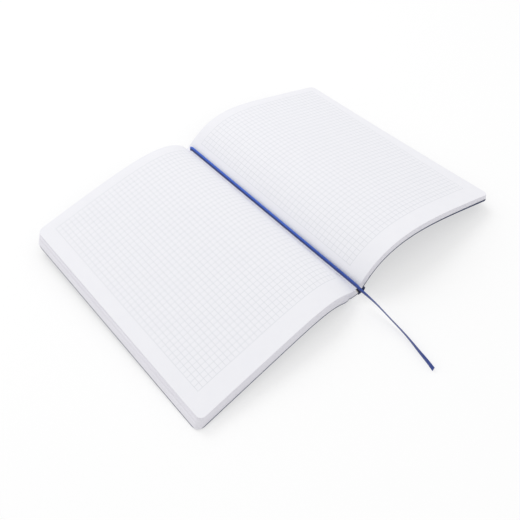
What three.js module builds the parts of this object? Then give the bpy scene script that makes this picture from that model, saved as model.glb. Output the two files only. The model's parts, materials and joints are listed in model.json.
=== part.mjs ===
// A soft-cover notebook of squared paper, lying open and face up near its middle.
// Millimetres, +Z up. Y runs along the spine, from the tail (-) to the head (+).
// Each half arches from the fold in the middle down to its fore-edge on the table.
// The arch isn't the same at the tail and at the head, so each half is ruled between two profiles.

import * as THREE from 'three';

// Sizes of the leaves and the cover
const page_length = 244;
const page_width = 185;
const corner_radius = 5.5;
const cover_corner_radius = 7.5;
const cover_overhang = 0.3;
const cover_thickness = 0.6;
const endpaper_thickness = 0.3;
const leaf_thickness = 0.3;
const seat_gap = 0.3;

// Where the notebook lies open
const fold_height = 11.4;
const gutter_half_width = 1.2;

// The slope of a page starts at fold_angle and falls over bend_length to a steady slope.
// edge_lift is what the cover stands clear of the table at the fore-edge, and edge_slide is how far
// a half has slid along the fold by there, as its arch isn't square to it.
const front = {
  name: 'front',
  mirrored: true,
  tail: { fold_angle: 43.0, bend_length: 30.5, bend_power: 1.4, edge_lift: 0 },
  head: { fold_angle: 58.5, bend_length: 35, bend_power: 1.13, edge_lift: 8.8 },
  spine_stack: 9.3,
  edge_stack: 10.9,
  edge_slant: 5.4,
  edge_slide: -13.3,
};
const back = {
  name: 'back',
  mirrored: false,
  tail: { fold_angle: 62.5, bend_length: 52.5, bend_power: 1.13, edge_lift: 5.8 },
  head: { fold_angle: 42.5, bend_length: 48, bend_power: 1.95, edge_lift: 0 },
  spine_stack: 7.0,
  edge_stack: 5.1,
  edge_slant: 3.0,
  edge_slide: 0,
};

// Each half bends at lines parallel to the fold, these distances from it
const bend_lines = [22, 50, 88];
const strip_gap = 0.4;

// The spine of the cover, which hangs as a hollow channel under the leaves
const spine_land_width = 5;
const spine_curve_reach = 2.4;
const lining_thickness = 0.5;

// The ribbon marker
const ribbon_width = 4.2;
const ribbon_thickness = 0.45;

const profile_step = 0.5;
const curve_step = 5;
const rows = 4;
const spine_curve_steps = 7;
const corner_steps = 6;

const radians = THREE.MathUtils.degToRad;

function end_slope(end, s) {
  const fade = Math.exp(-Math.pow(s / end.bend_length, end.bend_power));
  return radians(end.steady_angle + (end.fold_angle - end.steady_angle) * fade);
}

// Sums the slope along the page, so that a distance s from the fold gives a place on its surface.
function trace(half, end) {
  const stops = [{ x: 0, z: 0 }];
  const reach = page_width + half.edge_slant + cover_overhang + profile_step;
  for (let s = 0; s < reach; s += profile_step) {
    const last = stops[stops.length - 1];
    const angle = end_slope(end, s + profile_step / 2);
    stops.push({
      x: last.x + profile_step * Math.cos(angle),
      z: last.z + profile_step * Math.sin(angle),
    });
  }
  end.stops = stops;
}

// The point at a distance s from the fold and a depth under the page, at one end of a half.
function end_place(half, end, s, depth) {
  const index = Math.min(Math.floor(s / profile_step), end.stops.length - 2);
  const share = s / profile_step - index;
  const from = end.stops[index];
  const to = end.stops[index + 1];
  const angle = end_slope(end, s);
  const out = from.x + (to.x - from.x) * share + depth * Math.sin(angle);
  const up = from.z + (to.z - from.z) * share - depth * Math.cos(angle);
  const x = gutter_half_width + out;
  return new THREE.Vector2(half.mirrored ? -x : x, fold_height + up);
}

// The same at any y: straight lines join the tail's profile to the head's.
function place(half, y, s, depth) {
  const share = y / page_length + 0.5;
  return end_place(half, half.tail, s, depth).lerp(end_place(half, half.head, s, depth), share);
}

// How far a half has slid along the fold at a distance s from it.
function slide(half, s) {
  return half.edge_slide * s / page_width;
}

// The depth of the underside of the leaves at a distance s from the fold.
function stack(half, s) {
  return half.spine_stack + (half.edge_stack - half.spine_stack) * s / page_width;
}

// The layers of a half, from the page that shows down to the cover.
const sections_top = leaf_thickness + seat_gap;
const cover_drop = seat_gap + endpaper_thickness + seat_gap;
const cover_bottom = cover_drop + cover_thickness;
const layers = [
  {
    name: 'top_leaf',
    color: 0xececf1,
    roughness: 0.9,
    top: () => 0,
    bottom: () => leaf_thickness,
    overhang: 0,
    radius: corner_radius,
  },
  {
    name: 'sections',
    color: 0xe4e3e9,
    roughness: 0.95,
    top: () => sections_top,
    bottom: (half, s) => stack(half, s),
    overhang: 0,
    radius: corner_radius,
  },
  {
    name: 'endpaper',
    color: 0xe8e8ec,
    roughness: 0.9,
    top: (half, s) => stack(half, s) + seat_gap,
    bottom: (half, s) => stack(half, s) + seat_gap + endpaper_thickness,
    overhang: 0,
    radius: corner_radius,
  },
  {
    name: 'cover',
    color: 0x1c2a52,
    roughness: 0.6,
    top: (half, s) => stack(half, s) + cover_drop,
    bottom: (half, s) => stack(half, s) + cover_bottom,
    overhang: cover_overhang,
    radius: cover_corner_radius,
  },
];
const cover_layer = layers[layers.length - 1];

// How far from the fold a layer ends at a given depth: lower leaves end further out.
function layer_end(half, layer, depth) {
  const share = Math.min(depth / half.edge_stack, 1);
  return page_width + half.edge_slant * share + layer.overhang;
}

// The steady slope is the one that brings the cover's edge to its height over the table.
function settle(half, end) {
  const far = layer_end(half, cover_layer, half.edge_stack);
  let low = -60;
  let high = 30;
  for (let round = 0; round < 50; round += 1) {
    end.steady_angle = (low + high) / 2;
    trace(half, end);
    if (end_place(half, end, far, cover_layer.bottom(half, far)).y > end.edge_lift) {
      high = end.steady_angle;
    } else {
      low = end.steady_angle;
    }
  }
}

// A closed body from columns that each run along Y, with an upper and a lower line. Either line may
// be slid along Y.
function slab(columns) {
  const positions = [];
  columns.forEach((column) => {
    for (let row = 0; row <= rows; row += 1) {
      const y = column.from + (column.to - column.from) * row / rows;
      const upper = column.upper(y);
      const lower = column.lower(y);
      positions.push(upper.x, y + column.upper_slide, upper.y);
      positions.push(lower.x, y + column.lower_slide, lower.y);
    }
  });
  const at = (column, row, low) => (column * (rows + 1) + row) * 2 + low;
  const faces = [];
  const quad = (a, b, c, d) => faces.push(a, b, c, a, c, d);
  const last = columns.length - 1;
  for (let i = 0; i < last; i += 1) {
    for (let row = 0; row < rows; row += 1) {
      quad(at(i, row, 0), at(i + 1, row, 0), at(i + 1, row + 1, 0), at(i, row + 1, 0));
      quad(at(i, row, 1), at(i, row + 1, 1), at(i + 1, row + 1, 1), at(i + 1, row, 1));
    }
    quad(at(i, 0, 0), at(i, 0, 1), at(i + 1, 0, 1), at(i + 1, 0, 0));
    quad(at(i, rows, 0), at(i + 1, rows, 0), at(i + 1, rows, 1), at(i, rows, 1));
  }
  for (let row = 0; row < rows; row += 1) {
    quad(at(0, row, 0), at(0, row + 1, 0), at(0, row + 1, 1), at(0, row, 1));
    quad(at(last, row, 0), at(last, row, 1), at(last, row + 1, 1), at(last, row + 1, 0));
  }
  if (positions[0] > positions[positions.length - 6]) {
    faces.reverse();
  }
  const geometry = new THREE.BufferGeometry();
  geometry.setAttribute('position', new THREE.Float32BufferAttribute(positions, 3));
  geometry.setIndex(faces);
  geometry.computeVertexNormals();
  return geometry;
}

// One strip of a layer between two bend lines. The last one ends at the fore-edge, where its two
// corners are rounded and its end slants.
function strip(half, layer, index) {
  const last = index === bend_lines.length;
  const start = (index === 0 ? 0 : bend_lines[index - 1]) + strip_gap / 2;
  const top_end = last
    ? layer_end(half, layer, layer.top(half, page_width))
    : bend_lines[index] - strip_gap / 2;
  const bottom_end = last ? layer_end(half, layer, layer.bottom(half, page_width)) : top_end;
  const radius = last ? layer.radius : 0;
  const half_length = page_length / 2 + layer.overhang;
  const steps = Math.ceil((top_end - radius - start) / curve_step);
  const stops = [];
  for (let i = 0; i <= steps; i += 1) {
    stops.push({ s: start + (top_end - radius - start) * i / steps, inset: 0 });
  }
  for (let i = 1; last && i <= corner_steps; i += 1) {
    const turn = Math.PI / 2 * i / corner_steps;
    stops.push({ s: top_end - radius + radius * Math.sin(turn), inset: radius * (1 - Math.cos(turn)) });
  }
  const stretch = (bottom_end - start) / (top_end - start);
  const columns = stops.map(({ s, inset }) => {
    const under = start + (s - start) * stretch;
    return {
      from: -half_length + inset,
      to: half_length - inset,
      upper: (y) => place(half, y, s, layer.top(half, s)),
      upper_slide: slide(half, s),
      lower: (y) => place(half, y, under, layer.bottom(half, under)),
      lower_slide: slide(half, under),
    };
  });
  return slab(columns);
}

// The slope of a half at the fold, as a direction that leads away from it.
function fold_direction(half, y) {
  const near = place(half, y, 0, 0);
  return place(half, y, profile_step, 0).sub(near).normalize();
}

// The spine of the cover: from the front cover's root down to a flat land and up to the back cover's.
function spine_line(y) {
  const depth = (half) => half.spine_stack + cover_drop + cover_thickness / 2;
  const to_front = fold_direction(front, y);
  const to_back = fold_direction(back, y);
  const start = place(front, y, 0, depth(front)).addScaledVector(to_front, -strip_gap / 2);
  const end = place(back, y, 0, depth(back)).addScaledVector(to_back, -strip_gap / 2);
  const land_start = new THREE.Vector2(-spine_land_width / 2, cover_thickness / 2);
  const land_end = new THREE.Vector2(spine_land_width / 2, cover_thickness / 2);
  const down = new THREE.CubicBezierCurve(
    start,
    start.clone().addScaledVector(to_front, -spine_curve_reach),
    land_start.clone().add(new THREE.Vector2(-spine_curve_reach, 0)),
    land_start,
  );
  const up = new THREE.CubicBezierCurve(
    land_end,
    land_end.clone().add(new THREE.Vector2(spine_curve_reach, 0)),
    end.clone().addScaledVector(to_back, -spine_curve_reach),
    end,
  );
  return [...down.getPoints(spine_curve_steps), ...up.getPoints(spine_curve_steps)];
}

// The lining glued over the backs of the sections, a low tent under the fold.
function lining_line(y) {
  const clear = strip_gap / 2 + seat_gap + lining_thickness / 2;
  const under = (half, depth) => (
    place(half, y, 0, depth).addScaledVector(fold_direction(half, y), -clear)
  );
  const top_depth = seat_gap + lining_thickness;
  return [
    under(front, front.spine_stack - seat_gap),
    under(front, top_depth),
    under(back, top_depth),
    under(back, back.spine_stack - seat_gap),
  ];
}

// A band of even thickness along a line that changes from the tail to the head.
function band(line_at, thickness, length) {
  const offset = (y, i, side) => {
    const line = line_at(y);
    const before = line[Math.max(i - 1, 0)];
    const after = line[Math.min(i + 1, line.length - 1)];
    const run = after.clone().sub(before).normalize();
    return line[i].clone().add(new THREE.Vector2(-run.y, run.x).multiplyScalar(side * thickness / 2));
  };
  const columns = line_at(0).map((point, i) => ({
    from: -length / 2,
    to: length / 2,
    upper: (y) => offset(y, i, 1),
    upper_slide: 0,
    lower: (y) => offset(y, i, -1),
    lower_slide: 0,
  }));
  return slab(columns);
}

// The ribbon's route: glued in at the head, along the gutter, out at the tail and down to the table.
// Each stop is x, y, z and the ribbon's lean from lying flat, in degrees.
const ribbon_stops = [
  [1.51, 120.5, 13.7, 65],
  [1.45, 110, 13.8, 66],
  [1.34, 90, 13.8, 67],
  [1.23, 70, 13.8, 68],
  [1.12, 50, 13.8, 69],
  [1.01, 30, 13.8, 70],
  [0.9, 10, 13.8, 71],
  [0.8, -10, 13.8, 73],
  [0.69, -30, 13.8, 74],
  [0.58, -50, 13.8, 75],
  [0.47, -70, 13.8, 76],
  [0.36, -90, 13.8, 77],
  [0.25, -110, 13.8, 78],
  [0.25, -120, 13.7, 79],
  [0.15, -126, 13.3, 85],
  [0.4, -132, 12.6, 93],
  [0.9, -138, 11.5, 99],
  [1.35, -145, 9.9, 103],
  [1.6, -153, 7.8, 105],
  [1.65, -162, 5.6, 105],
  [1.5, -171, 3.9, 103],
  [0.7, -180, 2.9, 99],
  [-0.8, -189, 2.4, 93],
  [-2.7, -198, 2.25, 86],
  [-4.7, -208, 2.2, 78],
  [-6.9, -217, 2.1, 70],
];

// A flat band carried along the stops, as one closed body of rings with eight corners.
function ribbon() {
  const centres = ribbon_stops.map(([x, y, z]) => new THREE.Vector3(x, y, z));
  const half_width = ribbon_width / 2;
  const half_thick = ribbon_thickness / 2;
  const bevel = half_thick / 2;
  const section = [
    [-half_width, -bevel],
    [-half_width + bevel, -half_thick],
    [half_width - bevel, -half_thick],
    [half_width, -bevel],
    [half_width, bevel],
    [half_width - bevel, half_thick],
    [-half_width + bevel, half_thick],
    [-half_width, bevel],
  ];
  const positions = [];
  centres.forEach((centre, i) => {
    const run = centres[Math.min(i + 1, centres.length - 1)].clone()
      .sub(centres[Math.max(i - 1, 0)]).normalize();
    const level = new THREE.Vector3().crossVectors(run, new THREE.Vector3(0, 0, 1)).normalize();
    const raised = new THREE.Vector3().crossVectors(level, run).normalize();
    const lean = radians(ribbon_stops[i][3]);
    const across = level.clone().multiplyScalar(-Math.cos(lean)).addScaledVector(raised, Math.sin(lean));
    const normal = new THREE.Vector3().crossVectors(run, across);
    section.forEach(([u, v]) => {
      const corner = centre.clone().addScaledVector(across, u).addScaledVector(normal, v);
      positions.push(corner.x, corner.y, corner.z);
    });
  });
  const count = section.length;
  const faces = [];
  for (let ring = 0; ring < centres.length - 1; ring += 1) {
    for (let k = 0; k < count; k += 1) {
      const a = ring * count + k;
      const b = ring * count + (k + 1) % count;
      faces.push(a, b, b + count, a, b + count, a + count);
    }
  }
  const far = (centres.length - 1) * count;
  for (let k = 1; k < count - 1; k += 1) {
    faces.push(0, k + 1, k);
    faces.push(far, far + k, far + k + 1);
  }
  const geometry = new THREE.BufferGeometry();
  geometry.setAttribute('position', new THREE.Float32BufferAttribute(positions, 3));
  geometry.setIndex(faces);
  geometry.computeVertexNormals();
  return geometry;
}

function piece(name, geometry, color, roughness) {
  const material = new THREE.MeshStandardMaterial({ color, roughness, metalness: 0 });
  const mesh = new THREE.Mesh(geometry, material);
  mesh.name = name;
  return mesh;
}

[front, back].forEach((half) => {
  settle(half, half.tail);
  settle(half, half.head);
});

const notebook = new THREE.Group();
const cover_length = page_length + 2 * cover_overhang;
const spine_cover = band(spine_line, cover_thickness, cover_length);
notebook.add(piece('spine_cover', spine_cover, cover_layer.color, cover_layer.roughness));
const spine_lining = band(lining_line, lining_thickness, page_length);
notebook.add(piece('spine_lining', spine_lining, 0xd8d4c8, 0.9));
[front, back].forEach((half) => {
  layers.forEach((layer) => {
    for (let index = 0; index <= bend_lines.length; index += 1) {
      const name = `${half.name}_${layer.name}_${index + 1}`;
      notebook.add(piece(name, strip(half, layer, index), layer.color, layer.roughness));
    }
  });
});

// The origin stands on the table under the middle of the open notebook, its ribbon left out.
const solids = new THREE.Box3().setFromObject(notebook);
const middle = solids.getCenter(new THREE.Vector3());
notebook.position.set(-middle.x, -middle.y, 0);
notebook.add(piece('ribbon_marker', ribbon(), 0x2f4fae, 0.4));

export default notebook;
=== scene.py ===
import json
import math

import bpy
import numpy as np
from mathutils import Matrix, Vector


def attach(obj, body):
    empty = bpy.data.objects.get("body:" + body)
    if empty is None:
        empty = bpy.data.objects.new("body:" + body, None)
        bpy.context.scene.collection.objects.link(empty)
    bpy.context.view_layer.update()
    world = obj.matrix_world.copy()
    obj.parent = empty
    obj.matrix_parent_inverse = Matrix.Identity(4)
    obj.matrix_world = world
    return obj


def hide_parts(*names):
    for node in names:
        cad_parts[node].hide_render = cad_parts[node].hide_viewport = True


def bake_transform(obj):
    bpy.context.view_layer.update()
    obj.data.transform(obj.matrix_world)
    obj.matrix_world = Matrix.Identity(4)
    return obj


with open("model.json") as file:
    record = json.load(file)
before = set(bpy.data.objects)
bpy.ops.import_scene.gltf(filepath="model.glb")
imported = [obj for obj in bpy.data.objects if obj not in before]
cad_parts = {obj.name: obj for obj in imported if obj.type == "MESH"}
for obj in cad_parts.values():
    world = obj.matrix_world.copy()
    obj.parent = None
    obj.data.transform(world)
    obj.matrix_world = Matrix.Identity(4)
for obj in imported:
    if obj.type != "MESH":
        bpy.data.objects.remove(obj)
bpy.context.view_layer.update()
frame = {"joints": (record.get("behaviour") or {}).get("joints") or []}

joints = {joint["name"]: joint for joint in frame["joints"]}

# The camera looks down at the open pages from beyond the tail's left corner, as in the photo. Its
# place, turn and focal length were fitted to the printed squares, and its place is measured from
# the middle of the fold.
camera_place = (-0.33456, -0.38849, 0.52371)  # metres
camera_turn = (41.46, 0.146, -40.385)  # degrees
picture_width = 520  # pixels
focal_length = 766.65  # pixels
front_pin = joints["front_half_turn"]["pos_m"]
back_pin = joints["back_half_turn"]["pos_m"]
fold_x = (front_pin[0] + back_pin[0]) / 2
fold_y = front_pin[1]
fold_height = front_pin[2]
camera = bpy.data.objects.new("camera", bpy.data.cameras.new("camera"))
bpy.context.scene.collection.objects.link(camera)
bpy.context.scene.camera = camera
camera.location = (fold_x + camera_place[0], fold_y + camera_place[1], camera_place[2])
camera.rotation_euler = [math.radians(angle) for angle in camera_turn]
camera.data.lens = camera.data.sensor_width * focal_length / picture_width
camera.data.clip_end = 20

# Ribbon marker: a single length of woven polyester satin, glued in at the head of the spine. It
# lies in the gutter against the foot of the right page, hangs over the tail and ends on the table.
ribbon_width = 0.0042
ribbon_thickness = 0.00028
ribbon_steps = 260
section_steps = 11  # points across each face
ribbon_stops = np.array([
    # x and y from the middle of the fold, z, lean from lying flat in degrees, crown; lengths in mm
    (1.1, 118.1, 12.6, 66, 0.2),
    (1.47, 115, 13.7, 66, 0.4),
    (1.42, 107, 13.8, 66, 0.4),
    *np.linspace((1.34, 90, 13.8, 67, 0.39), (0.25, -110, 13.8, 78, 0.26), 11),
    (0.25, -120, 13.7, 79, 0.2),
    (0.15, -126, 13.3, 85, 0.15),
    (0.4, -132, 12.6, 93, 0.1),
    (0.9, -138, 11.5, 99, 0.05),
    (1.35, -145, 9.9, 103, 0.05),
    (1.6, -153, 7.8, 105, 0.05),
    (1.65, -162, 5.6, 105, 0.05),
    (1.5, -171, 3.9, 103, 0.05),
    (0.7, -180, 2.9, 99, 0.05),
    (-0.8, -189, 2.4, 93, 0.05),
    (-2.7, -198, 2.25, 86, 0.05),
    (-4.7, -208, 2.2, 78, 0.05),
    (-6.9, -217, 2.1, 70, 0.05),
])


def smooth_line(stops, steps):
    """A curve through the stops: between two of them it is the cubic whose slope at each stop is
    half the step from the stop before it to the stop after it."""
    padded = np.vstack([2 * stops[0] - stops[1], stops, 2 * stops[-1] - stops[-2]])
    slopes = (padded[2:] - padded[:-2]) / 2
    at = np.linspace(0, len(stops) - 1, steps)
    low = np.minimum(at.astype(int), len(stops) - 2)
    t = (at - low)[:, None]
    start, end = stops[low], stops[low + 1]
    return (
        start * (2 * t**3 - 3 * t**2 + 1) + slopes[low] * (t**3 - 2 * t**2 + t)
        + end * (3 * t**2 - 2 * t**3) + slopes[low + 1] * (t**3 - t**2)
    )


def new_piece(name, points, faces, sharp=40):
    """A mesh object of that name from arrays of points and faces, in the row frame, with edges
    sharper than that many degrees kept crisp."""
    mesh = bpy.data.meshes.new(name)
    mesh.from_pydata(points.tolist(), [], faces.tolist())
    mesh.shade_smooth()
    mesh.set_sharp_from_angle(angle=math.radians(sharp))
    piece = bpy.data.objects.new(name, mesh)
    bpy.context.scene.collection.objects.link(piece)
    return piece


def outward(points, faces):
    """The faces, turned round if the volume that they enclose comes out negative."""
    a, b, c = (points[faces[:, k]] for k in range(3))
    d = points[faces[:, 3]]
    volume = np.sum(a * np.cross(b, c)) + np.sum(a * np.cross(c, d))
    return faces if volume > 0 else faces[:, ::-1]


def store(piece, name, values):
    """Keeps one vector for each point of the piece, for its material to read."""
    attribute = piece.data.attributes.new(name, "FLOAT_VECTOR", "POINT")
    attribute.data.foreach_set("vector", np.ascontiguousarray(values, np.float32).ravel())


def linear(code):
    """A colour from its sRGB hex code, as linear red, green, blue and alpha."""
    parts = [int(code[k:k + 2], 16) / 255 for k in (1, 3, 5)]
    return [p / 12.92 if p <= 0.04045 else ((p + 0.055) / 1.055) ** 2.4 for p in parts] + [1]


def add(tree, kind, inputs=(), **settings):
    """A new node of that kind with its settings. Each input is a value or a socket to read from."""
    node = tree.nodes.new(kind)
    for name, value in settings.items():
        setattr(node, name, value)
    for name, value in dict(inputs).items():
        if isinstance(value, bpy.types.NodeSocket):
            tree.links.new(value, node.inputs[name])
        else:
            node.inputs[name].default_value = value
    return node


def new_material(name):
    """An empty material of that name, and its node tree."""
    material = bpy.data.materials.new(name)
    material.use_nodes = True
    material.node_tree.nodes.clear()
    return material, material.node_tree


def maths(tree, operation, *values):
    """The result of a Math node on one or two values."""
    return add(tree, "ShaderNodeMath", dict(enumerate(values)), operation=operation).outputs[0]


def ramp(tree, value, start, end, low=0.0, high=1.0):
    """A value that goes evenly from low to high as the given one goes from start to end."""
    inputs = {"Value": value, "From Min": start, "From Max": end, "To Min": low, "To Max": high}
    return add(tree, "ShaderNodeMapRange", inputs).outputs[0]


def noise(tree, vector, scale, detail, roughness=0.5):
    """A random value from 0 to 1 that rises and falls about scale times per unit of the vector."""
    inputs = {"Vector": vector, "Scale": scale, "Detail": detail, "Roughness": roughness}
    return add(tree, "ShaderNodeTexNoise", inputs).outputs["Fac"]


def mixed(tree, factor, a, b):
    """The colour that goes evenly from a to b as the factor goes from 0 to 1."""
    mix = add(tree, "ShaderNodeMix", {"Factor": factor, "A": a, "B": b}, data_type="RGBA")
    return mix.outputs["Result"]


def bump(tree, height, strength, relief):
    """The normal, tilted as by a surface that rises by relief, in mm, where the height is 1."""
    inputs = {"Height": height, "Strength": strength, "Distance": relief / 1000}
    return add(tree, "ShaderNodeBump", inputs).outputs[0]


def surface(tree, inputs):
    """Ends a material in one Principled shader with these inputs."""
    shader = add(tree, "ShaderNodeBsdfPrincipled", inputs)
    add(tree, "ShaderNodeOutputMaterial", {"Surface": shader.outputs[0]})


stops = smooth_line(ribbon_stops, ribbon_steps)
centres = stops[:, :3] / 1000 + np.array([fold_x, fold_y, 0])
run = np.gradient(centres, axis=0)
run /= np.linalg.norm(run, axis=1)[:, None]
level = np.cross(run, [0, 0, 1])
level /= np.linalg.norm(level, axis=1)[:, None]
raised = np.cross(level, run)
lean = np.radians(stops[:, 3])[:, None]
across = -level * np.cos(lean) + raised * np.sin(lean)
facing = np.cross(run, across)
# Round the section the ribbon goes up one face and down the other. It thins at the selvedges, and
# both of them fall back from the middle by the crown.
share = np.linspace(-1, 1, section_steps)
selvedge_thinning = 0.9
half_thick = ribbon_thickness / 2 * np.sqrt(1 - selvedge_thinning * share**6)
section_u = np.concatenate([share, share[::-1]]) * ribbon_width / 2
section_v = np.concatenate([-half_thick, half_thick])
crown = -stops[:, 4][:, None] / 1000 * np.concatenate([share, share[::-1]]) ** 2
rings = (
    centres[:, None] + across[:, None] * section_u[None, :, None]
    + facing[:, None] * (section_v[None, :] + crown)[..., None]
)
count = len(section_u)
ring_index = np.arange(len(centres) * count).reshape(-1, count)
around = np.roll(ring_index, -1, axis=1)
ribbon_faces = np.stack([ring_index[:-1], around[:-1], around[1:], ring_index[1:]], -1)
ribbon_faces = ribbon_faces.reshape(-1, 4)
# The two cut ends are closed by quads from one face to the other.
cap = np.arange(section_steps - 1)
cap = np.stack([cap, cap + 1, count - 2 - cap, count - 1 - cap], -1)
ribbon_faces = np.vstack([ribbon_faces, cap, cap[:, ::-1] + ring_index[-1, 0]])
ribbon_points = rings.reshape(-1, 3)
along = np.concatenate([[0], np.cumsum(np.linalg.norm(np.diff(centres, axis=0), axis=1))])
ribbon_marker = new_piece("ribbon_band", ribbon_points, outward(ribbon_points, ribbon_faces), 60)
cloth = np.stack(np.broadcast_arrays(section_u[None, :], along[:, None], 0.0), -1) * 1000
store(ribbon_marker, "cloth_mm", cloth.reshape(-1, 3))

# Polyester satin: long glossy floats over fine weft ribs, so it shines along its length.
weft_pitch = 0.5  # mm; the real ribs are 0.2 mm apart, too fine to show
float_width = 0.1667
float_length = 4.0
satin, tree = new_material("polyester_satin")
cloth_mm = add(tree, "ShaderNodeAttribute", attribute_name="cloth_mm").outputs["Vector"]
cloth_axes = add(tree, "ShaderNodeSeparateXYZ", {0: cloth_mm})
weft = maths(tree, "PINGPONG", cloth_axes.outputs["Y"], weft_pitch / 2)
weft_height = ramp(tree, weft, 0, weft_pitch / 2)
floats_scale = (1 / float_width, 1 / float_length, 1)
floats_place = add(tree, "ShaderNodeMapping", {"Vector": cloth_mm, "Scale": floats_scale})
floats = noise(tree, floats_place.outputs[0], 1.0, 3)
satin_tone = ramp(tree, floats, 0.3, 0.7)
ribbon_color = mixed(tree, satin_tone, linear("#2A53B8"), linear("#4576DC"))
# Painted shade: the satin is darkened from just above its middle down to the lower selvedge, which
# lies in the fold, to stand in for the shade there.
painted_fold_shade = ramp(tree, cloth_axes.outputs["X"], 0.7, -0.1)
ribbon_color = mixed(tree, painted_fold_shade, ribbon_color, linear("#182F78"))
# Painted shade: from half way down the fold out to the free end the satin is darkened more and
# more, to stand in for the shade on the hanging end.
painted_end_shade = ramp(tree, cloth_axes.outputs["Y"], 150, 290)
ribbon_color = mixed(tree, painted_end_shade, ribbon_color, linear("#173688"))
surface(tree, {
    "Base Color": ribbon_color,
    "Normal": bump(tree, maths(tree, "ADD", weft_height, floats), 0.35, 0.06),
    "Roughness": 0.34, "IOR": 1.5, "Sheen Weight": 0.08, "Sheen Roughness": 0.4,
})
ribbon_marker.data.materials.append(satin)
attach(ribbon_marker, "spine")
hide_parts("ribbon_marker")

# The open pages: the leaf that shows on each half, of white writing paper printed with squares.
# A page leaves the gutter steeply, arches over and runs down to its fore-edge on the table. The
# arch isn't the same at the tail and at the head, so it is ruled between two profiles.
page_length = 244.0  # mm, as all lengths in this section
page_width = 185.0
corner_radius = 5.5
cover_overhang = 0.3
cover_depth = 1.5  # of its underside, under the last leaf
page_step = 0.5
piece_step = 1.6
fold_step = 1.0  # finer next to the fold, where the leaves turn down
piece_rows = 29
corner_steps = 10
crisp_step = 0.05  # a narrow row at each cut, so that the edge there stays crisp
bend_stops = [22.0, 50.0, 88.0]  # where each half bends, from the fold
piece_cuts = [0.0, 11.0, 36.0, 69.0]  # where its pieces meet, half way between the bends
# At each end, fold is the slope at the fold in degrees, which dies away over bend_length by
# bend_power, edge_lift the height of the cover's edge over the table, and inner_share how far the
# leaves run on inside the fold. A pair of values is for the tail and for the head.
halves = {
    "front": {
        "side": -1,
        "tail": {
            "fold": 43.0, "bend_length": 30.5, "bend_power": 1.4,
            "edge_lift": 0, "inner_share": 1.0,
        },
        "head": {
            "fold": 58.5, "bend_length": 35, "bend_power": 1.13,
            "edge_lift": 8.8, "inner_share": 0.68,
        },
        "spine_stack": 9.3, "edge_stack": 10.9, "edge_slant": 5.4, "edge_slide": -13.3,
        "spine_slant": 11.2, "edge_skew": (0, 0.8), "edge_shift": (0, 0),
        "corner_lift": 0, "tail_sag": 3.5, "cover_slide": 0, "slip": (2.3, 1.3),
    },
    "back": {
        "side": 1,
        "tail": {
            "fold": 62.5, "bend_length": 52.5, "bend_power": 1.13,
            "edge_lift": 5.8, "inner_share": 0.33,
        },
        "head": {
            "fold": 42.5, "bend_length": 48, "bend_power": 1.95,
            "edge_lift": 0, "inner_share": 1.0,
        },
        "spine_stack": 7.0, "edge_stack": 5.1, "edge_slant": 3.0, "edge_slide": 0,
        "spine_slant": 3.0, "edge_skew": (3.5, -4.5), "edge_shift": (-1.7, -3.8),
        "corner_lift": 4.0, "tail_sag": 1.9, "cover_slide": -1.0, "slip": (0, 0),
    },
}
gutter_half_width = (back_pin[0] - front_pin[0]) / 2 * 1000
spine_fall = 0.14  # how steeply the leaves fall to the spine once they have levelled out
spine_bend = 2.0
sag_start = 95.0  # from the middle of the page, beyond the last squares
sag_length = 12.0  # from the fold to where the tail sags most
slip_length = 18.0
spare_reach = 12  # the profiles run on past the page, for the slanted fore-edge
reach = np.arange(0, page_width + spare_reach, page_step)


def shell(block):
    """A closed surface from a block of points (length, width, depth, xyz): its six sides, each a
    grid of quads. Gives the points, the faces and which points of the block were used."""
    shape = block.shape[:3]
    index = np.arange(np.prod(shape)).reshape(shape)
    sides = []
    for axis in range(3):
        for end in (0, -1):
            grid = np.take(index, end, axis=axis)
            quads = np.stack([grid[:-1, :-1], grid[1:, :-1], grid[1:, 1:], grid[:-1, 1:]], -1)
            turned = (axis == 1) != (end == -1)
            sides.append(quads.reshape(-1, 4)[:, ::-1] if turned else quads.reshape(-1, 4))
    faces = np.concatenate(sides)
    used, faces = np.unique(faces, return_inverse=True)
    faces = faces.reshape(-1, 4)
    points = block.reshape(-1, 3)[used]
    return points, outward(points, faces), used


def between_ends(pair, y):
    """The value at y along the page, on a straight line from the tail's value to the head's."""
    return pair[0] + (pair[1] - pair[0]) * (y / page_length + 0.5)


def slope(end, s):
    """The slope at s from the fold: it falls from its value at the fold to a steady one, by e to
    the minus (s over the bend length) to a power."""
    fade = np.exp(-np.power(np.maximum(s, 0) / end["bend_length"], end["bend_power"]))
    return np.radians(end["steady"] + (end["fold"] - end["steady"]) * fade)


def stack(half, s):
    """How thick the leaves are at s: it changes evenly from the spine to the fore-edge."""
    return half["spine_stack"] + (half["edge_stack"] - half["spine_stack"]) * s / page_width


def end_place(half, end, s, depth):
    """x and z at a distance s from the fold and a depth under the page, at one end of a half: the
    running sums of the cosine and the sine of the slope, then the depth at right angles to it.
    Inside the fold, where s is under zero, the leaves fall at the fold's own slope at first and
    level out by one minus e to the minus (the way in over spine_bend)."""
    angle = slope(end, s)
    inside = np.maximum(-s, 0) * end["inner_share"]
    steeper = np.tan(np.radians(end["fold"])) - spine_fall
    dropped = spine_fall * inside + spine_bend * steeper * (1 - np.exp(-inside / spine_bend))
    x = np.interp(s, reach, end["x"]) - inside + depth * np.sin(angle)
    z = np.interp(s, reach, end["z"]) - dropped - depth * np.cos(angle)
    return gutter_half_width + x, fold_height * 1000 + z


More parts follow.
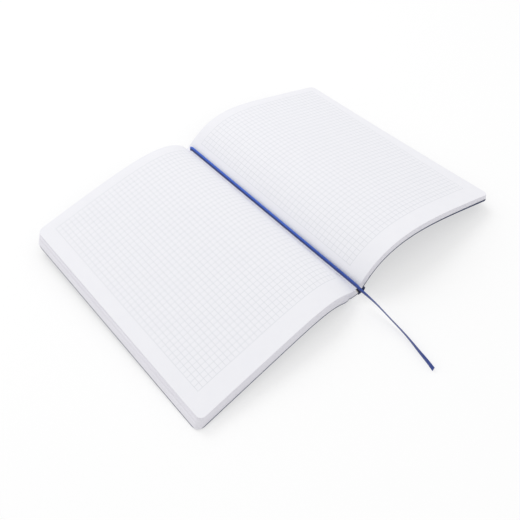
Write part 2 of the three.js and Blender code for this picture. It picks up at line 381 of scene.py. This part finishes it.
def settle(half, end):
    """Finds the steady slope that brings the cover's edge to its height over the table, by halving
    the range that it lies in."""
    far = page_width + half["edge_slant"] + cover_overhang
    low, high = -60.0, 30.0
    for _ in range(45):
        end["steady"] = (low + high) / 2
        angle = slope(end, reach[:-1] + page_step / 2)
        end["x"] = np.concatenate([[0], np.cumsum(page_step * np.cos(angle))])
        end["z"] = np.concatenate([[0], np.cumsum(page_step * np.sin(angle))])
        lifted = end_place(half, end, far, stack(half, far) + cover_depth)[1] > end["edge_lift"]
        low, high = (low, end["steady"]) if lifted else (end["steady"], high)


def spine_end(half, depth):
    """Where the leaves end at the spine: those further under the page reach further into the fold,
    in proportion to their depth."""
    return -half["spine_slant"] * depth / half["spine_stack"]


def place(half, s, y, depth):
    """The point at s from the fold, y along it and a depth under the page, in metres: straight
    lines join the tail's profile to the head's, and the half slides along the fold evenly with s.
    The corner at the tail lifts with the square of the way over the last strip and of that to the
    head. Next to the spine the tail sags by x times e to the (1 - x), x the way in sag_lengths."""
    s, y, depth = np.broadcast_arrays(s, y, depth)
    tail_x, tail_z = end_place(half, half["tail"], s, depth)
    head_x, head_z = end_place(half, half["head"], s, depth)
    x = between_ends((tail_x, head_x), y)
    z = between_ends((tail_z, head_z), y)
    last_strip = np.maximum(s - bend_stops[-1], 0) / (page_width - bend_stops[-1])
    z = z + half["corner_lift"] * last_strip**2 * (0.5 - y / page_length) ** 2
    near_tail = np.clip((-y - sag_start) / (page_length / 2 - sag_start), 0, 1) ** 1.5
    from_fold = np.maximum(s, 0) / sag_length
    z = z - half["tail_sag"] * from_fold * np.exp(1 - from_fold) * near_tail
    slid = y + half["edge_slide"] * s / page_width
    return np.stack([fold_x * 1000 + half["side"] * x, fold_y * 1000 + slid, z], -1) / 1000


def layer_block(
    half, index, top, bottom, levels, overhang=0.0, radius=corner_radius, inset=0.0, fan=0.0,
    base=0.0, slid=0.0,
):
    """Points (s, y, level) of one piece of a layer, and their s, y and depth in mm. Its ends are at
    the cuts, or at the fore-edge, where the corners are rounded. At each level the sides stand back
    by inset, the fore-edge reaches out by the slant and by fan, and the base at the fold by base.
    The fore-edge is askew to the fold and shifted along it, evenly with s, and slid moves it along
    the fold with the square of s. The leaves slip towards the tail, in proportion to one minus e to
    the minus (s over slip_length)."""
    last = index == len(piece_cuts) - 1
    inset = inset + 0 * levels
    near = piece_cuts[index] + 0 * levels
    if index == 0:
        root_depth = top(half, 0) + (bottom(half, 0) - top(half, 0)) * levels
        near = near + base + spine_end(half, root_depth)
    radius = radius if last else 0
    if last:
        edge_top, edge_bottom = top(half, page_width), bottom(half, page_width)
        depth_at_edge = edge_top + (edge_bottom - edge_top) * levels
        slant = half["edge_slant"] * np.minimum(depth_at_edge / half["edge_stack"], 1)
        far = page_width + overhang + slant + fan - inset
    else:
        far = piece_cuts[index + 1] + 0 * levels
    length = far[0] - radius - near[0]
    steps = int(math.ceil(length / (piece_step if index else fold_step)))
    thin = crisp_step / length
    along = np.linspace(0, 1, steps + 1)
    along = np.concatenate([[0, thin], along[1:-1], [1 - thin, 1]])
    s = near + (far - radius - near) * along[:, None]
    back_off = np.zeros(len(along))
    if last:
        turn = np.radians(np.linspace(0, 90, corner_steps)[1:])
        s = np.vstack([s, far - radius + radius * np.sin(turn)[:, None]])
        back_off = np.concatenate([back_off, radius * (1 - np.cos(turn))])
    half_length = page_length / 2 + overhang - back_off[:, None] - inset
    rows = np.linspace(-1, 1, piece_rows)
    y = rows[None, :, None] * half_length[:, None, :]
    s = np.broadcast_to(s[:, None, :], y.shape)
    if last:
        s = s + between_ends(half["edge_skew"], y) * (s - near) / (far - near)
    depth = top(half, s) + (bottom(half, s) - top(half, s)) * levels
    way_out = np.maximum(s, 0) / page_width
    slipping = 1 - np.exp(-np.maximum(s, 0) / slip_length)
    shift = between_ends(half["edge_shift"], y)
    slip = between_ends(half["slip"], y)
    y = y + shift * way_out + slid * way_out**2 - slip * slipping
    return place(half, s, y, depth), np.stack([s, y, depth], -1)


def bend(piece, name, index):
    """The first piece, at the fold, turns whole with the first strip. For the others the joint's
    pivot and axis are read and the lead is found, the page's own direction over the last mm at
    right angles to the axis, with the page's edge at the cut; the piece is not bent, only baked in
    place."""
    if index == 0:
        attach(piece, f"{name}_half_1")
        return
    half = halves[name]
    joint = joints[f"{name}_bend_{index}"]
    pivot, axis = np.array(joint["pos_m"]), np.array(joint["axis"])
    line = bend_stops[index - 1]
    lead = place(half, line + 0.5, 0, 0) - place(half, line - 0.5, 0, 0)
    lead -= axis * (lead @ axis)
    lead /= np.linalg.norm(lead)
    ends = np.array([-page_length / 2, page_length / 2])[:, None]
    depths = np.array([0, stack(half, line) + cover_depth])[None, :]
    edge = place(half, piece_cuts[index], ends, depths)
    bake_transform(piece)


for half in halves.values():
    settle(half, half["tail"])
    settle(half, half["head"])

# Uncoated writing paper, calendered smooth: matt, faintly mottled, ruled in pale grey.
square = 5.0  # mm
inner_margin = 11.8
head_margin = 11.75
ruled_width = 32 * square
ruled_length = 43 * square
line_half_width = 0.14  # the lines are drawn 0.28 mm wide, as much as they need to show
line_blur = 0.07
mottle_size = 11.11
fibre_size = 0.6667  # the real fibres are 0.03 mm thick, too fine to show
paper, tree = new_material("ruled_writing_paper")
page_mm = add(tree, "ShaderNodeAttribute", attribute_name="page_mm").outputs["Vector"]
page_axes = add(tree, "ShaderNodeSeparateXYZ", {0: page_mm})
lines, limits = [], []
for axis, origin, extent in (
    ("X", inner_margin, ruled_width),
    ("Y", page_length / 2 - head_margin - ruled_length, ruled_length),
):
    from_origin = maths(tree, "SUBTRACT", page_axes.outputs[axis], origin)
    from_line = maths(tree, "PINGPONG", from_origin, square / 2)
    start, end = line_half_width - line_blur, line_half_width + line_blur
    lines.append(ramp(tree, from_line, start, end, 1.0, 0.0))
    from_middle = maths(tree, "ABSOLUTE", maths(tree, "SUBTRACT", from_origin, extent / 2))
    limits.append(maths(tree, "LESS_THAN", from_middle, extent / 2 + line_half_width))
on_line = maths(tree, "MAXIMUM", *lines)
inside = maths(tree, "MULTIPLY", *limits)
place_node = add(tree, "ShaderNodeTexCoord")
mottle = noise(tree, place_node.outputs["Object"], 1000 / mottle_size, 4, 0.6)
fibres = noise(tree, place_node.outputs["Object"], 1000 / fibre_size, 5, 0.7)
paper_tone = mixed(tree, mottle, linear("#EFEFF4"), linear("#F3F3F7"))
ruled = maths(tree, "MULTIPLY", on_line, inside)
surface(tree, {
    "Base Color": mixed(tree, ruled, paper_tone, linear("#D1D4D9")),
    "Normal": bump(tree, fibres, 0.12, 0.05),
    "Roughness": 0.72, "IOR": 1.45, "Specular IOR Level": 0.3,
})

leaf_thickness = 0.2
for name, half in halves.items():
    for index in range(len(piece_cuts)):
        block, local = layer_block(
            half, index, lambda h, s: 0 * s, lambda h, s: 0 * s + leaf_thickness,
            np.array([0.0, 1.0]),
        )
        points, faces, used = shell(block)
        leaf = new_piece(f"{name}_open_page_{index + 1}", points, faces)
        store(leaf, "page_mm", local.reshape(-1, 3)[used])
        leaf.data.materials.append(paper)
        bend(leaf, name, index)
        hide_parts(f"{name}_top_leaf_{index + 1}")

# The two open pages are one sheet, folded between them in a shallow valley under the ribbon. The
# valley falls short of the leaves beside it and lies a hair lower, so it doesn't cut into them.
valley_drop = 0.15  # mm
valley_gap = 0.03
valley_below = 0.04
valley_x = np.linspace(-1, 1, 9)[None, :, None] * (gutter_half_width - valley_gap)
valley_y = np.array([-0.5, 0.5])[:, None, None] * page_length
valley_z = -valley_below - valley_drop * (1 - (valley_x / gutter_half_width) ** 2)
valley_z = valley_z - np.array([0.0, leaf_thickness])
valley_x, valley_y, valley_z = np.broadcast_arrays(valley_x, valley_y, valley_z)
valley = np.stack(
    [fold_x + valley_x / 1000, fold_y + valley_y / 1000, fold_height + valley_z / 1000], -1,
)
points, faces, _ = shell(valley)
middle_fold = new_piece("middle_sheet_fold", points, faces)
bare_margin = np.array([-inner_margin / 2, 0.0, 0.0])
store(middle_fold, "page_mm", np.broadcast_to(bare_margin, points.shape))
middle_fold.data.materials.append(paper)
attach(middle_fold, "spine")

# Under each open page lie the other leaves, folded into sections of eight and sewn through the
# fold. Their trimmed edges show as fine lines, and the sections are fanned a little there.
section_pitch = 1.0  # mm, as the others here
leaf_groups = 4  # ridges drawn in each section's edge
groove = 0.045  # between two ridges
section_rounding = 0.45  # of the folded backs
uneven_trim = 0.025
section_fan = 0.25
leaf_fan = 0.08
block_top = leaf_thickness + 0.05
block_drop = 0.4
# The same paper, cut across its fibres: quite matt, in streaks that run along the leaves.
leaf_pitch = 0.1818  # the real leaves are 0.1 mm thick, too fine to show
streak_length = 50.0
edges, tree = new_material("trimmed_leaf_edges")
leaf_mm = add(tree, "ShaderNodeAttribute", attribute_name="leaf_mm").outputs["Vector"]
leaf_scale = (1 / streak_length, 1 / streak_length, 1 / leaf_pitch)
leaf_place = add(tree, "ShaderNodeMapping", {"Vector": leaf_mm, "Scale": leaf_scale})
leaf_streaks = noise(tree, leaf_place.outputs[0], 1.0, 5, 0.65)
leaf_tone = ramp(tree, leaf_streaks, 0.32, 0.62)
surface(tree, {
    "Base Color": mixed(tree, leaf_tone, linear("#E9E7EE"), linear("#F5F4F9")),
    "Normal": bump(tree, leaf_streaks, 0.5, 0.1),
    "Roughness": 0.9, "IOR": 1.45, "Specular IOR Level": 0.2,
})

chance = np.random.default_rng(7)
for name, half in halves.items():
    sections = int(round(half["spine_stack"] / section_pitch))
    groups = sections * leaf_groups
    starts = np.arange(groups) / groups
    # Each ridge has three levels: its groove and the two sides of its flat.
    levels = np.concatenate([(starts[:, None] + np.array([0, 0.25, 0.75]) / groups).ravel(), [1.0]])
    steps_out = np.repeat(chance.uniform(-uneven_trim, uneven_trim, groups), 3)
    inset = np.concatenate([steps_out + np.tile([groove, 0, 0], groups), [groove]])
    fan = np.repeat(chance.uniform(-section_fan, section_fan, sections), leaf_groups)
    fan = np.repeat(fan + chance.uniform(-leaf_fan, leaf_fan, groups), 3)
    fan = np.concatenate([fan, fan[-1:]])
    within = 2 * ((levels * sections) % 1) - 1
    rounded = section_rounding * (1 - np.sqrt(np.clip(1 - within**2, 0, 1)))
    for index in range(len(piece_cuts)):
        block, local = layer_block(
            half, index, lambda h, s: 0 * s + block_top, lambda h, s: stack(h, s) + block_drop,
            levels, inset=inset, fan=fan, base=rounded,
        )
        points, faces, used = shell(block)
        leaves = new_piece(f"{name}_leaves_{index + 1}", points, faces, 30)
        store(leaves, "leaf_mm", local.reshape(-1, 3)[used])
        leaves.data.materials.append(edges)
        bend(leaves, name, index)
        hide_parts(f"{name}_sections_{index + 1}")

# Endpapers: a heavier uncoated sheet pasted over the inside of each cover, a little smaller than
# the cover. Its felt side shows as a soft, faint grain.
endpaper_depths = (0.45, 0.85)  # mm, of its two faces under the last leaf
felt_size = 1.429  # mm; the real felt marks are 0.5 mm wide
endpaper, tree = new_material("heavy_endpaper")
place_node = add(tree, "ShaderNodeTexCoord")
felt = noise(tree, place_node.outputs["Object"], 1000 / felt_size, 5, 0.65)
surface(tree, {
    "Base Color": mixed(tree, felt, linear("#E6E6EA"), linear("#EFEFF2")),
    "Normal": bump(tree, felt, 0.2, 0.08),
    "Roughness": 0.85, "IOR": 1.45, "Specular IOR Level": 0.25,
})
for name, half in halves.items():
    for index in range(len(piece_cuts)):
        block, _ = layer_block(
            half, index, lambda h, s: stack(h, s) + endpaper_depths[0],
            lambda h, s: stack(h, s) + endpaper_depths[1], np.array([0.0, 1.0]),
        )
        points, faces, _ = shell(block)
        sheet = new_piece(f"{name}_pasted_endpaper_{index + 1}", points, faces)
        sheet.data.materials.append(endpaper)
        bend(sheet, name, index)
        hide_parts(f"{name}_endpaper_{index + 1}")

# Covers: flexible sheets of dark blue leatherette with round corners, a little larger than the
# leaves all round. The skin is turned in over the edges, which are rounded.
cover_thickness = 0.6  # mm
cover_corner_radius = 7.5
# Polyurethane on cloth, embossed with a fine grain: a dull gloss that breaks up on the grain.
grain_size = 0.9  # the real grain is about 0.5 mm
pore_size = 2.381
leatherette, tree = new_material("embossed_leatherette")
place_node = add(tree, "ShaderNodeTexCoord")
grain = add(
    tree, "ShaderNodeTexVoronoi",
    {"Vector": place_node.outputs["Object"], "Scale": 1000 / grain_size, "Randomness": 1.0},
    feature="DISTANCE_TO_EDGE",
)
grain_height = ramp(tree, grain.outputs["Distance"], 0, 0.25)
pores = noise(tree, place_node.outputs["Object"], 1000 / pore_size, 5, 0.6)
surface(tree, {
    "Base Color": mixed(tree, pores, linear("#16244A"), linear("#20325F")),
    "Normal": bump(tree, maths(tree, "ADD", grain_height, pores), 0.35, 0.12),
    "Roughness": ramp(tree, pores, 0, 1, 0.42, 0.6), "IOR": 1.5, "Specular IOR Level": 0.45,
})
rim_levels = np.array([0.0, 0.15, 0.5, 0.85, 1.0])
rim_inset = np.array([0.15, 0.04, 0.0, 0.04, 0.15])
cover_top = cover_depth - cover_thickness
for name, half in halves.items():
    for index in range(len(piece_cuts)):
        block, _ = layer_block(
            half, index, lambda h, s: stack(h, s) + cover_top,
            lambda h, s: stack(h, s) + cover_depth, rim_levels, overhang=cover_overhang,
            radius=cover_corner_radius, inset=rim_inset, slid=half["cover_slide"],
        )
        points, faces, _ = shell(block)
        cover = new_piece(f"{name}_cover_sheet_{index + 1}", points, faces, 60)
        cover.data.materials.append(leatherette)
        bend(cover, name, index)
        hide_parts(f"{name}_cover_{index + 1}")

# Spine of the cover: the same sheet, which hangs as a hollow channel from the two covers' roots
# down to a flat land on the table. It is flexible; each side is baked in place, not turned.
land_width = 5.0  # mm
land_shift = (6.0, 0.5)  # mm from the middle of the fold, at the tail and at the head
land_bend = 0.4  # how far the curve runs on level from the land, as a share of its span
front_hinge = 0.4  # and from each cover's root
back_hinge = 1.05
curve_steps = 22
skin_rows = 29


def cubic(a, b, c, d, t):
    """The point at t on the cubic curve with the control points a, b, c and d."""
    return a * (1 - t) ** 3 + 3 * b * t * (1 - t) ** 2 + 3 * c * t**2 * (1 - t) + d * t**3


def band(line, thickness, rim=0.0):
    """A block (along the line, y, level) of even thickness about a line (steps, rows, xyz): each
    level is moved at right angles to the line and to the y axis. Its edges are rounded by rim."""
    tangent = np.gradient(line, axis=0)
    side = np.cross(tangent, [0, 1, 0])
    side /= np.linalg.norm(side, axis=-1)[..., None]
    levels = np.linspace(-0.5, 0.5, 5) if rim else np.array([-0.5, 0.5])
    block = line[:, :, None] + side[:, :, None] * levels[None, None, :, None] * thickness
    if rim:
        drawn = np.array([1, 0.2, 0, 0.2, 1]) * rim
        block[:, 0, :, 1] += drawn
        block[:, -1, :, 1] -= drawn
    return block


half_spine = page_length / 2 + cover_overhang
spine_y = np.linspace(-half_spine, half_spine, skin_rows)
land_z = cover_thickness / 2 / 1000
for name, half in halves.items():
    side = half["side"]
    root_depth = half["spine_stack"] + (cover_top + cover_depth) / 2
    root_s = spine_end(half, root_depth)
    root = place(half, root_s, spine_y, root_depth)
    land_x = fold_x + between_ends(land_shift, spine_y) / 1000
    centre = np.stack(np.broadcast_arrays(land_x, fold_y + spine_y / 1000, land_z), -1)
    landing = centre + np.array([side * land_width / 2000, 0, 0])
    across = np.linalg.norm(landing - root, axis=1)[:, None]
    onward = np.array([side * 1.0, 0, 0])
    inward = place(half, root_s - 0.5, spine_y, root_depth) - root
    inward /= np.linalg.norm(inward, axis=1)[:, None]
    # The front cover runs on into the channel, and the back cover rolls outward at its hinge.
    hinge = inward * front_hinge if name == "front" else onward * back_hinge
    t = np.linspace(0, 1, curve_steps)[:, None, None]
    curve = cubic(landing, landing + onward * land_bend * across, root + hinge * across, root, t)
    line = np.concatenate([centre[None], (centre + (landing - centre) * 0.5)[None], curve])
    points, faces, _ = shell(band(line, cover_thickness / 1000, 0.0002))
    channel = new_piece(f"spine_channel_{name}", points, faces, 60)
    channel.data.materials.append(leatherette)
    # A normal is found for each side, the front's along the table at right angles to the land and
    # the back's by the height, but the side is not turned with its cover.
    if name == "front":
        normal = np.cross(landing[-1] - landing[0], [0, 0, -side])
        normal /= np.linalg.norm(normal)
    else:
        normal = np.array([0, 0, 1.0])
    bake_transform(channel)
    if name == "front":
        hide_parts("spine_cover")

# Spine lining: open cotton gauze glued over the folded backs of the sections, which holds them
# together. The glue fills its mesh, so that the threads show as low ridges.
lining_thickness = 0.4  # mm
lining_gap = 0.15  # to the backs of the sections
lining_start = 1.0  # depth under the page
lining_end = 0.2  # short of the last leaf
thread_pitch = 0.001  # metres, from thread to thread
gauze, tree = new_material("glued_gauze")
place_node = add(tree, "ShaderNodeTexCoord")
axes = add(tree, "ShaderNodeSeparateXYZ", {0: place_node.outputs["Object"]})
off_thread = [maths(tree, "PINGPONG", axes.outputs[axis], thread_pitch / 2) for axis in ("Y", "Z")]
threads = ramp(tree, maths(tree, "MINIMUM", *off_thread), 0, thread_pitch / 4, 1.0, 0.0)
surface(tree, {
    "Base Color": mixed(tree, threads, linear("#C9C3B4"), linear("#E6E2D6")),
    "Normal": bump(tree, threads, 0.6, 0.1),
    "Roughness": 0.8, "IOR": 1.5,
})
lining_y = np.linspace(-page_length / 2, page_length / 2, skin_rows)
clear = (lining_gap + lining_thickness / 2) / 1000
for name, half in halves.items():
    depths = np.linspace(lining_start, half["spine_stack"] - lining_end, 9)
    flap = np.stack([place(half, spine_end(half, d), lining_y, d) for d in depths])
    outside = np.cross(np.gradient(flap, axis=0), [0, -half["side"], 0])
    flap += outside / np.linalg.norm(outside, axis=-1)[..., None] * clear
    # The two flaps meet over the middle of the fold.
    meeting = flap[:1].copy()
    meeting[..., 0] = fold_x
    line = np.concatenate([meeting, flap])
    points, faces, _ = shell(band(line, lining_thickness / 1000))
    lining = new_piece(f"gauze_lining_{name}", points, faces)
    lining.data.materials.append(gauze)
    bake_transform(lining)
    if name == "front":
        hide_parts("spine_lining")

# The white table and the studio light: a broad lamp and a small soft box, both high up beyond the
# head of the notebook, and an even white surround that the camera sees as plain white.
floor_size = 4.0  # metres
floor_drop = 0.0001
glow_share = 0.56  # of the white that the camera sees on the table, so that the shadows stay pale
ambient = 0.775  # of the surround, for all rays but those that look at it
key_direction = (0.07, 0.57, 0.82)
box_place = (-0.02, 0.5, 0.75)
floor_points = np.array([[-1, -1, 0], [1, -1, 0], [1, 1, 0], [-1, 1, 0]]) * floor_size / 2
floor_points[:, 2] = -floor_drop
floor = new_piece("floor", floor_points, np.array([[0, 1, 2, 3]]))
white, tree = new_material("white_table")


def looked_at(tree):
    """A socket that is 1 for the rays that look at the white background: those from the camera,
    those reflected by gloss and those that pass through a piece."""
    path = add(tree, "ShaderNodeLightPath")
    seen = path.outputs["Is Camera Ray"]
    for ray in ("Is Glossy Ray", "Is Transmission Ray"):
        seen = maths(tree, "MAXIMUM", seen, path.outputs[ray])
    return seen


seen = looked_at(tree)
table_color = mixed(tree, seen, linear("#EDEDEF"), (1, 1, 1, 1))
table_shader = add(tree, "ShaderNodeBsdfDiffuse", {"Color": table_color})
table_glow = add(tree, "ShaderNodeEmission", {"Color": (1, 1, 1, 1), "Strength": 1.0})
table_mix = add(
    tree, "ShaderNodeMixShader",
    {
        0: maths(tree, "MULTIPLY", seen, glow_share),
        1: table_shader.outputs[0], 2: table_glow.outputs[0],
    },
)
add(tree, "ShaderNodeOutputMaterial", {"Surface": table_mix.outputs[0]})
floor.data.materials.append(white)

surround = bpy.data.worlds.new("surround")
bpy.context.scene.world = surround
surround.use_nodes = True
tree = surround.node_tree
tree.nodes.clear()
sky_level = ramp(tree, looked_at(tree), 0, 1, ambient, 1.0)
sky = add(tree, "ShaderNodeBackground", {"Color": (1, 1, 1, 1), "Strength": sky_level})
add(tree, "ShaderNodeOutputWorld", {"Surface": sky.outputs[0]})

key = bpy.data.objects.new("key_lamp", bpy.data.lights.new("key_lamp", "SUN"))
bpy.context.scene.collection.objects.link(key)
key.rotation_euler = Vector(key_direction).to_track_quat("Z", "Y").to_euler()
key.data.energy = 0.5
key.data.angle = math.radians(25)

box = bpy.data.objects.new("soft_box", bpy.data.lights.new("soft_box", "AREA"))
bpy.context.scene.collection.objects.link(box)
box.location = box_place
box.rotation_euler = Vector(box_place).to_track_quat("Z", "Y").to_euler()
box.data.shape = "SQUARE"
box.data.size = 0.6
box.data.energy = 1.1

bpy.context.scene.view_settings.view_transform = "Standard"
